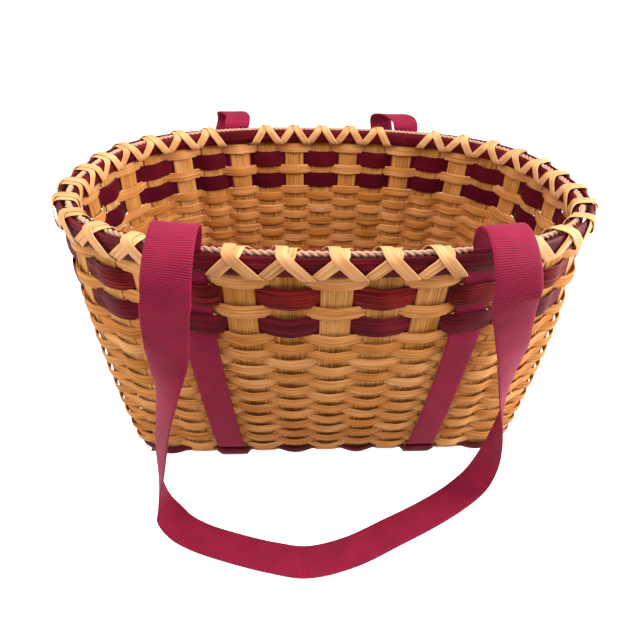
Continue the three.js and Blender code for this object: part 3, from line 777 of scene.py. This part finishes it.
def cord_tree():
    tree, given = new_tree("twisted_cord", "Cord", {
        "Guide": "Geometry", "Strands": "Int", "Strand Radius": "Float", "Lay Radius": "Float",
        "Turns per Metre": "Float", "Corners": "Int", "Material": "Material",
    })
    curve = node(tree, "GeometryNodeMeshToCurve", {0: given["Guide"]})
    copies = node(tree, "GeometryNodeDuplicateElements",
                  {0: curve, "Amount": given["Strands"]}, domain="SPLINE")
    share = node(tree, MATH,
                 {0: copies.outputs["Duplicate Index"], 1: given["Strands"]}, operation="DIVIDE")
    along = node(tree, ATTRIBUTE, {"Name": "along"})
    wound = node(tree, MATH,
                 {0: along, 1: given["Turns per Metre"], 2: share}, operation="MULTIPLY_ADD")
    angle = node(tree, MATH, {0: wound, 1: 2 * math.pi}, operation="MULTIPLY")
    arms = []
    for kind, attribute in (("COSINE", "facing"), ("SINE", "rise")):
        swing = node(tree, MATH, {0: angle}, operation=kind)
        reach = node(tree, MATH, {0: swing, 1: given["Lay Radius"]}, operation="MULTIPLY")
        way = node(tree, ATTRIBUTE, {"Name": attribute}, data_type="FLOAT_VECTOR")
        arms.append(node(tree, VECTOR_MATH, {0: way, "Scale": reach}, operation="SCALE"))
    shift = node(tree, VECTOR_MATH, {0: arms[0], 1: arms[1]}, operation="ADD")
    lay = node(tree, "GeometryNodeSetPosition", {0: copies, "Offset": shift})
    circle = node(tree, "GeometryNodeCurvePrimitiveCircle",
                  {"Resolution": given["Corners"], "Radius": given["Strand Radius"]})
    index = node(tree, "GeometryNodeInputIndex")
    section = node(tree, STORE, {0: circle, "Name": "across", "Value": index})
    strands = node(tree, "GeometryNodeCurveToMesh",
                   {"Curve": lay, "Profile Curve": section, "Fill Caps": True})
    end_tree(tree, strands, given["Material"])
    return tree


CORD_TREE = cord_tree()
print("twisted cord tree:", len(CORD_TREE.nodes), "nodes")

# %% Seagrass cord in the rim
FILLER_OFFSET = -0.9
FILLER_UP = 6.2
FILLER_STEPS = 40
FILLER = {
    "Strands": 2, "Strand Radius": 1.25 * MM, "Lay Radius": 1.0 * MM, "Turns per Metre": 100.0,
    "Corners": 8, "Material": SEAGRASS,
}
guide = rim_guide(FILLER_OFFSET, FILLER_UP, FILLER_STEPS)
filler = run_tree(CORD_TREE, "rim_filler_cord_seagrass", guide, FILLER)
settle("rim_filler_cord_seagrass", filler, "rim_filler_cord")
print("seagrass faces:", len(filler.polygons))

# %% [markdown]
# The lashing is a strip of cane peel that binds both bands. It wraps the rim over each upright
# and passes below the rim through the gap beside the stake, first one way round the basket and
# then back on top of itself, so that it crosses in a row of tents. The strip moves along the
# rim only while it climbs or drops, and reaches the top a little beyond the stake, so that the
# two ways cross just below the edge.

# %% Guides for the lashing
WRAP_HALF = (7.7, 8.4)
WRAP_CENTRE = 0.5
WRAP_SQUARENESS = 3.4
WRAP_FINE = 4001
WRAP_STEPS = 44
RETURN_LIFT = 0.95
STRAP_SIDE_GAP = 0.55
CROSSING = 0.08


def rim_wrap(lift):
    """One turn round the rim from below: how far out and up, and the facing there."""
    a = np.linspace(-np.pi / 2, 3 * np.pi / 2, WRAP_FINE)
    out = (WRAP_HALF[0] + lift) * squared_off(np.cos(a), WRAP_SQUARENESS)
    up = (WRAP_HALF[1] + lift) * squared_off(np.sin(a), WRAP_SQUARENESS)
    out, up = equal_lengths(out, up, WRAP_STEPS)
    slope_out = np.roll(out, -1) - np.roll(out, 1)
    slope_up = np.roll(up, -1) - np.roll(up, 1)
    return out + WRAP_CENTRE, up, slope_up, -slope_out


def lashing_guide(first_strap, last_strap):
    """Along the rim from one strap to the next and back, through the gaps between the uprights."""
    uprights = range(first_strap + 1, last_strap)
    gaps = [k + 0.5 for k in range(first_strap, last_strap)]
    gaps[0], gaps[-1] = first_strap + STRAP_SIDE_GAP, last_strap - STRAP_SIDE_GAP
    there = [(k, 0, before, after) for k, before, after in zip(uprights, gaps, gaps[1:])]
    returning = [(k, RETURN_LIFT, after, before) for k, _, before, after in there[::-1]]
    points, facings = [], []
    for k, lift, start, end in there + returning:
        out, up, face_out, face_up = rim_wrap(lift)
        share = (up / up.max() + 1) / 2
        outside = np.arange(WRAP_STEPS) < WRAP_STEPS / 2
        peak = k + CROSSING * np.sign(end - start)
        u = np.where(outside, start + (peak - start) * share, end + (peak - end) * share)
        p, _, v, n = wall_frame(u, RIM_Z)
        points.append(p + n * out[:, None] + v * up[:, None])
        facings.append(n * face_out[:, None] + v * face_up[:, None])
    return {"points": np.concatenate(points), "facing": np.concatenate(facings)}


print("one turn of lashing has", WRAP_STEPS, "points")

# %% Lashing
LASHING_SEED = 80
stops = (*STRAP_UPRIGHTS, UPRIGHTS + FRONT_RIGHT)
for order, side in enumerate(("right", "back", "left", "front")):
    guide = lashing_guide(stops[order], stops[order + 1])
    strip_piece(f"lashing_{side}", "cane", guide, CANE, CANE_PEEL,
                LASHING_SEED + order)
print("lashing turns on the right end:", 2 * (BACK_RIGHT - FRONT_RIGHT - 1))

# %% [markdown]
# Cotton webbing: a thick, narrow plain weave. Each thread that comes to the face is a small
# dash. They are about 1.2 mm wide and 1.3 mm long on the real strap, set like bricks, and that
# is just coarse enough to show. The pattern is worked out from the strip's own measures, so it
# runs straight along the strap through every fold. Wear shows in patches of about 18 mm.

# %% Webbing material
THREAD_WIDTH = 1.25
THREAD_LENGTH = 1.3
THREAD_HEIGHT = 0.25
BRICK_SHIFT = 0.5
WEAR_SCALE = 55.0
WEAR_SHARE = 0.5


def webbing(name, shaded_valley, face, fuzz):
    material, tree, (along, across) = new_material(name, "along", "across")
    rows = node(tree, MATH, {0: along, 1: THREAD_LENGTH * MM}, operation="DIVIDE")
    columns = node(tree, MATH, {0: across, 1: THREAD_WIDTH * MM}, operation="DIVIDE")
    row = node(tree, MATH, {0: rows}, operation="FLOOR")
    shifted = node(tree, MATH, {0: row, 1: BRICK_SHIFT, 2: columns}, operation="MULTIPLY_ADD")
    waves = []
    for value in (rows, shifted):
        part = node(tree, MATH, {0: value}, operation="FRACT")
        turn = node(tree, MATH, {0: part, 1: math.pi}, operation="MULTIPLY")
        waves.append(node(tree, MATH, {0: turn}, operation="SINE"))
    thread = node(tree, MATH, {0: waves[0], 1: waves[1]}, operation="MULTIPLY")
    place = node(tree, "ShaderNodeTexCoord").outputs["Object"]
    wear = node(tree, "ShaderNodeTexNoise",
                {"Vector": place, "Scale": WEAR_SCALE, "Detail": 4.0}).outputs["Fac"]
    wear_and_valley_shade = node(tree, MATH, {0: wear, 1: WEAR_SHARE, 2: thread}, operation="MULTIPLY_ADD")
    # The dashes are the threads of the weave. The darker colour between them is painted shade in
    # the hollows of the weave. The wear patches are the strap's own.
    ramp = node(tree, "ShaderNodeValToRGB", {0: wear_and_valley_shade})
    set_stops(ramp, (0.25, shaded_valley), (1.0, face))
    raised = node(tree, "ShaderNodeBump",
                  {"Height": thread, "Strength": 0.6, "Distance": THREAD_HEIGHT * MM})
    shader = node(tree, "ShaderNodeBsdfPrincipled", {
        "Base Color": ramp, "Normal": raised, "Roughness": 0.6, "Specular IOR Level": DULL,
        "Sheen Weight": 0.035, "Sheen Roughness": 1.0, "Sheen Tint": linear(fuzz),
    })
    node(tree, "ShaderNodeOutputMaterial", {0: shader})
    return material


# Dyed cotton: matt crimson with a soft pink bloom of loose fibre. The first colour is painted
# shade for the valleys between the threads.
HANDLE_WEBBING = webbing("crimson_cotton_webbing", "#470318", "#96163a", "#f0a0b4")
print("threads across the strap:", round(WEBBING["Width"] / THREAD_WIDTH))

# %% [markdown]
# The straps. Each comes down the front wall between the stake and the outer band, under the
# dyed rows, over the plain ones, under the base and up the back in the same way.

# %% Straps on the wall
STRAP_OFFSET = 1.75
STRAP_OVER_ROWS = 4.3
OVER_FADE = 7
UNDER_DYED = 9
ABOVE_FIRST_ROW = 4
STRAP_STEPS = 40
STRAP_SEED = 90
HALF_WEBBING = WEBBING["Thickness"] / 2


def strap_offset(z):
    top = LOWER_DYED_Z - UNDER_DYED
    bottom = FIRST_ROW_Z + ABOVE_FIRST_ROW
    over = smoothstep((top - z) / OVER_FADE) * smoothstep((z - bottom) / OVER_FADE)
    return STRAP_OFFSET + (STRAP_OVER_ROWS - STRAP_OFFSET) * over


def strap_base(i):
    y = base_line(BASE_HALF[1], STRAP_STEPS)
    return np.stack(np.broadcast_arrays(i * STAKE_PITCH[0], y, HALF_WEBBING), 1)


for seed, (side, i) in enumerate((("left", -STRAP_STAKE), ("right", STRAP_STAKE)), STRAP_SEED):
    guide = under_run(front(i), back(i), RIM_TOP_Z, strap_offset, BASE_Z - HALF_WEBBING,
                      strap_base(i))
    strip_piece(f"strap_{side}", "webbing", guide, WALL_WEBBING, HANDLE_WEBBING, seed)
print("strap length", path_length(guide["points"]), "mm")

# %% [markdown]
# Each strap comes out of the rim, bends over the outer band and hangs down as a handle. The
# bend is a piece of its own, fixed in place and joined to neither the basket nor the handle. The
# back handle has been pushed to the left, so its bends are lower and lean that way.

# %% Guides for bends over the rim
BEND_LOW = 7.3
BEND_RISE = 2
BEND_DROP = 3
BEND_DEPTH = 48.2
FRONT_CROWN = 24
BACK_CROWN = 12
BACK_PUSH = (19, 0, 0)
PUSH_SPAN = (0.2, 0.8)
BEND_SWAY = 0.21
BEND_TOE_IN = 16.6
BEND_TURN = 14
RISE_STEPS = 2
ARCH_STEPS = 32


def turned(v, axis, degrees):
    """v turned about a unit axis. The degrees may differ from point to point."""
    a = np.radians(np.asarray(degrees, float))[..., None]
    level = axis * np.sum(axis * v, -1, keepdims=True)
    return v * np.cos(a) + np.cross(axis, v) * np.sin(a) + level * (1 - np.cos(a))


def bend_guide(k):
    """Out of the rim at upright k, over the band and down, leaning and turning to the middle."""
    p, t, v, n = (part[0] for part in wall_frame(k, RIM_Z))
    inward = np.sign(p[0] * p[1])
    crown, push = (FRONT_CROWN, (0, 0, 0)) if p[1] < 0 else (BACK_CROWN, BACK_PUSH)
    straight = np.linspace(0, BEND_RISE, RISE_STEPS + 1)[:-1]
    a = np.linspace(0, np.pi, ARCH_STEPS + 1)
    share = (1 - np.cos(a)) / 2
    out = np.concatenate((0 * straight, BEND_DEPTH * share))[:, None]
    arch = BEND_RISE - (BEND_RISE + BEND_DROP) * share + crown * np.sin(a)
    up = np.concatenate((straight, arch))[:, None]
    sway = t * inward * BEND_SWAY
    pushed = smoothstep((a / np.pi - PUSH_SPAN[0]) / (PUSH_SPAN[1] - PUSH_SPAN[0]))
    aside = sway * crown * np.sin(a)[:, None] - np.outer(pushed, push)
    toe_in = turned(n, v, inward * BEND_TOE_IN)
    points = p + n * STRAP_OFFSET + v * (BEND_LOW + up) + toe_in * out
    points[len(straight):] += aside
    width = turned(t, v, inward * BEND_TURN * np.concatenate((0 * straight, a / np.pi)))
    slope = np.gradient(points, axis=0)
    slope[0], slope[-1] = v, unit(-v - sway)
    facing = unit(np.cross(slope, width))
    return {"points": points, "facing": facing, "width": width[-1], "down": slope[-1]}


print("a bend reaches", BEND_DEPTH, "mm out of the rim")

# %% Bends over the rim
BEND_SEED = 95
BENDS = {}
for seed, (side, body, k) in enumerate((
    ("front_left", "front_handle", FRONT_LEFT), ("front_right", "front_handle", FRONT_RIGHT),
    ("back_left", "back_handle", BACK_LEFT), ("back_right", "back_handle", BACK_RIGHT),
), BEND_SEED):
    BENDS[side] = bend_guide(k)
    piece = strip_piece(f"strap_bend_{side}", "webbing", BENDS[side], WEBBING, HANDLE_WEBBING,
                        seed, body=None)
    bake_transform(piece)
bend_top = float(BENDS["front_left"]["points"][:, 2].max())
print("bends stand", round(bend_top - RIM_TOP_Z, 1), "mm above the rim")

# %% [markdown]
# The handles hang from the bends, turn edge on, and lie in a loose loop on the floor. Each step
# of the route gives how far across the webbing lies, as a share of the way to a bend, how far in
# front of the bends and how high, both as a share of their height, and in degrees which way its
# width points and how it banks. The back handle is the front one turned half round.

# %% Guide for a handle
HANDLE_ROUTE = np.array((
    (-1.03, -0.001, 0.956, 4, 0), (-1.06, -0.007, 0.902, 5, 0), (-1.09, -0.013, 0.839, 4, 0),
    (-1.13, -0.021, 0.772, -10, 0), (-1.19, -0.028, 0.693, -31, 0), (-1.24, -0.032, 0.609, -49, 0),
    (-1.31, -0.034, 0.517, -55, 0), (-1.4, -0.03, 0.38, -58, 0), (-1.48, -0.021, 0.246, -63, 0),
    (-1.53, -0.009, 0.137, -78, 0), (-1.5, 0.026, 0.054, -98, -8), (-1.37, 0.075, 0.024, -108, -13),
    (-1.18, 0.114, 0.018, -112, -14), (-0.89, 0.152, 0.017, -110, -14),
    (-0.51, 0.19, 0.015, -103, -13), (-0.21, 0.206, 0.011, -93, -9), (0.17, 0.176, 0.009, -74, -9),
    (0.55, 0.115, 0.01, -65, -8), (0.95, 0.047, 0.013, -64, -9), (1.24, -0.011, 0.023, -65, -7),
    (1.43, -0.052, 0.066, -66, -2), (1.5, -0.071, 0.183, -78, 0), (1.48, -0.08, 0.35, -100, 0),
    (1.39, -0.08, 0.517, -122, 0), (1.32, -0.067, 0.622, -135, 0), (1.26, -0.055, 0.71, -147, 0),
    (1.2, -0.038, 0.785, -155, 0), (1.13, -0.025, 0.856, -162, 0), (1.07, -0.015, 0.919, -168, 0),
    (1.03, -0.006, 0.958, -171, 0),
))
HANDLE_LEAD = 4
FLOOR_LIE = 1.15
ROUTE_STEPS = 12


def eased(values, u):
    """Values at whole numbers of u, with the corners between them rounded off."""
    fine = np.interp(u, np.arange(len(values)), values)
    ease = np.ones(ROUTE_STEPS + 1) / (ROUTE_STEPS + 1)
    return np.convolve(np.pad(fine, ROUTE_STEPS // 2, mode="edge"), ease, mode="valid")


def handle_guide():
    """The front handle from the left bend to the right one."""
    leads = []
    for side, turn_back in (("front_left", 0), ("front_right", 180)):
        end, width, down = BENDS[side]["points"][-1], BENDS[side]["width"], BENDS[side]["down"]
        turn = math.degrees(math.atan2(width[1], width[0])) - turn_back
        leads.append([(*(end + down * drop), turn, 0) for drop in (0, HANDLE_LEAD)])
    across, depth, top = BENDS["front_right"]["points"][-1]
    height = top - FLOOR_LIE
    route = HANDLE_ROUTE * (across, -height, height, 1, 1) + (0, depth, FLOOR_LIE, 0, 0)
    route = np.concatenate((leads[0], route, leads[1][::-1]))
    u = np.linspace(0, len(route) - 1, (len(route) - 1) * ROUTE_STEPS + 1)
    points, slope = spline(route[:, :3], u, closed=False)
    turn = np.radians(eased(route[:, 3], u))
    width = np.stack((np.cos(turn), np.sin(turn), 0 * turn), 1)
    level = unit(np.cross(slope, width))
    return {"points": points, "facing": turned(level, unit(slope), eased(route[:, 4], u))}


print("the route of a handle has", len(HANDLE_ROUTE), "steps")

# %% Handles
HANDLE_SEED = 97
HALF_TURN = np.array((-1.0, -1.0, 1.0))
front_guide = handle_guide()
back_guide = {key: value * HALF_TURN for key, value in front_guide.items()}
back_guide["points"] = back_guide["points"] - BACK_PUSH
handles = (("front_handle", front_guide), ("back_handle", back_guide))
for seed, (name, guide) in enumerate(handles, HANDLE_SEED):
    strip_piece(name, "webbing", guide, WEBBING, HANDLE_WEBBING, seed, body=name)
print("handle length", path_length(front_guide["points"]), "mm")

# %% [markdown]
# The stage: a pale floor, a white background and soft light. The floor and the background are
# white where they are looked at, and the floor still takes the basket's shadow. Under the
# basket the floor is painted with shade, a flat brown like reed in the shade, or else the gaps
# of the woven base would show as white dots.

# %% Floor
FLOOR_HALF = 6.0
SHADE_INSET = 4
FLOOR_GLOW = 0.75


def looked_at(tree):
    """1 where the camera, a reflection or glass looks at the background, 0 where it only lights."""
    ray = node(tree, "ShaderNodeLightPath").outputs
    seen = ray["Is Camera Ray"]
    for kind in ("Is Glossy Ray", "Is Transmission Ray"):
        seen = node(tree, MATH, {0: seen, 1: ray[kind]}, operation="MAXIMUM")
    return seen


def floor_material():
    # Matt white paper, brightened a little where it is looked at. Under the basket it is painted
    # shade: flat brown, and not brightened.
    material, tree, _ = new_material("white_paper_floor_painted_shade")
    painted_shade_half = [(half - SHADE_INSET) * MM for half in BASE_HALF]
    place = node(tree, "ShaderNodeTexCoord").outputs["Object"]
    share = node(tree, VECTOR_MATH, {0: place, 1: (*painted_shade_half, 1)}, operation="DIVIDE")
    size = node(tree, VECTOR_MATH, {0: share}, operation="ABSOLUTE")
    away = node(tree, "ShaderNodeSeparateXYZ", {0: size}).outputs
    most = node(tree, MATH, {0: away["X"], 1: away["Y"]}, operation="MAXIMUM")
    # 0 inside the painted shade patch under the base, 1 on the white paper beside it
    beside = node(tree, MATH, {0: most, 1: 1.0}, operation="GREATER_THAN")
    lit = node(tree, MATH, {0: beside, 1: FLOOR_GLOW}, operation="MULTIPLY")
    seen = node(tree, MATH, {0: looked_at(tree), 1: lit}, operation="MULTIPLY")
    # Painted shade: brown under the base, where the floor lies in the basket's shade
    tone = node(tree, "ShaderNodeMix",
                {0: beside, 6: linear("#6e4a2c"), 7: linear("#f4f3f1")}, data_type="RGBA")
    paper = node(tree, "ShaderNodeBsdfDiffuse", {"Color": tone.outputs[2]})
    glow = node(tree, "ShaderNodeEmission", {"Strength": seen})
    both = node(tree, "ShaderNodeAddShader", {0: paper, 1: glow})
    node(tree, "ShaderNodeOutputMaterial", {0: both})
    return material


paper = bpy.data.meshes.new("floor")
corners = [(x * FLOOR_HALF, y * FLOOR_HALF, 0) for x, y in ((-1, -1), (1, -1), (1, 1), (-1, 1))]
paper.from_pydata(corners, [], [(0, 1, 2, 3)])
paper.materials.append(floor_material())
floor = add_object("floor", paper)
print("floor", 2 * FLOOR_HALF, "m across")

# %% Background
SKY_LIGHT = 0.35
world = bpy.data.worlds.new("studio")
bpy.context.scene.world = world
world.use_nodes = True
air = world.node_tree
air.nodes.clear()
strength = node(air, "ShaderNodeMapRange", {0: looked_at(air), 3: SKY_LIGHT, 4: 1.0})
sky = node(air, "ShaderNodeBackground", {"Color": (1, 1, 1, 1), "Strength": strength})
node(air, "ShaderNodeOutputWorld", {0: sky})
print("sky light", SKY_LIGHT)

# %% [markdown]
# Three softboxes: one on each side, so that the bumps of the weave stand out, and a weak one
# above the mouth. An area lamp is used because its shadow is as soft as the box is wide.

# %% Lights
# Name, place and width in metres, and power in watts
LIGHTS = (
    ("key_softbox", (-1.35, -0.4, 0.75), 1.0, 17.0),
    ("fill_softbox", (1.35, -0.15, 0.65), 0.8, 38.0),
    ("top_softbox", (0.0, -0.1, 0.62), 0.5, 4.0),
)
LIGHT_AIM = (0, 0, 0.12)


def stand(thing, right, top, away, place):
    """Puts a lamp or the camera in its place. Both look along their own minus Z."""
    turn = np.stack((right, top, away), 1).tolist()
    thing.matrix_world = Matrix([[*row, at] for row, at in zip(turn, place)] + [[0, 0, 0, 1]])


for name, place, size, power in LIGHTS:
    lamp = bpy.data.lights.new(name, "AREA")
    lamp.size, lamp.energy = size, power
    away = unit(np.array(place) - LIGHT_AIM)
    right = unit(np.cross(UP, away))
    stand(add_object(name, lamp), right, np.cross(away, right), away, place)
print("lights:", [light[0] for light in LIGHTS])

# %% [markdown]
# The camera stands where the photographer stood. Its place, turn and lens were fitted to the
# stakes, rows and rim in the picture, and a small shift sets the frame.

# %% Camera
FOCAL_PIXELS = 398.6
PICTURE_WIDTH = 640
SENSOR_WIDTH = 36
CAMERA_PLACE = (-21.87, -360.25, 360.03)
PITCH, YAW, ROLL = (math.radians(a) for a in (40.31, 3.02, 1.68))
CENTRE_DROP = 9.5
ahead = math.cos(PITCH)
look = np.array((math.sin(YAW) * ahead, math.cos(YAW) * ahead, -math.sin(PITCH)))
level = unit(np.cross(look, UP))
upright = np.cross(level, look)
right = math.cos(ROLL) * level + math.sin(ROLL) * upright
top = math.cos(ROLL) * upright - math.sin(ROLL) * level
lens = bpy.data.cameras.new("camera")
lens.sensor_width = SENSOR_WIDTH
lens.lens = FOCAL_PIXELS * SENSOR_WIDTH / PICTURE_WIDTH
lens.shift_y = CENTRE_DROP / PICTURE_WIDTH
lens.clip_start = 10 * MM
camera = add_object("camera", lens)
stand(camera, right, top, -look, np.array(CAMERA_PLACE) * MM)
bpy.context.scene.camera = camera
bpy.context.scene.view_settings.view_transform = "Standard"
print("lens", round(lens.lens, 2), "mm")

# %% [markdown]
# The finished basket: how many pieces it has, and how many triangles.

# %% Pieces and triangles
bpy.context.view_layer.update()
faces = sum(len(p.vertices) - 2 for piece in shown.values() for p in piece.data.polygons)
print("pieces", len(shown), "triangles", faces)
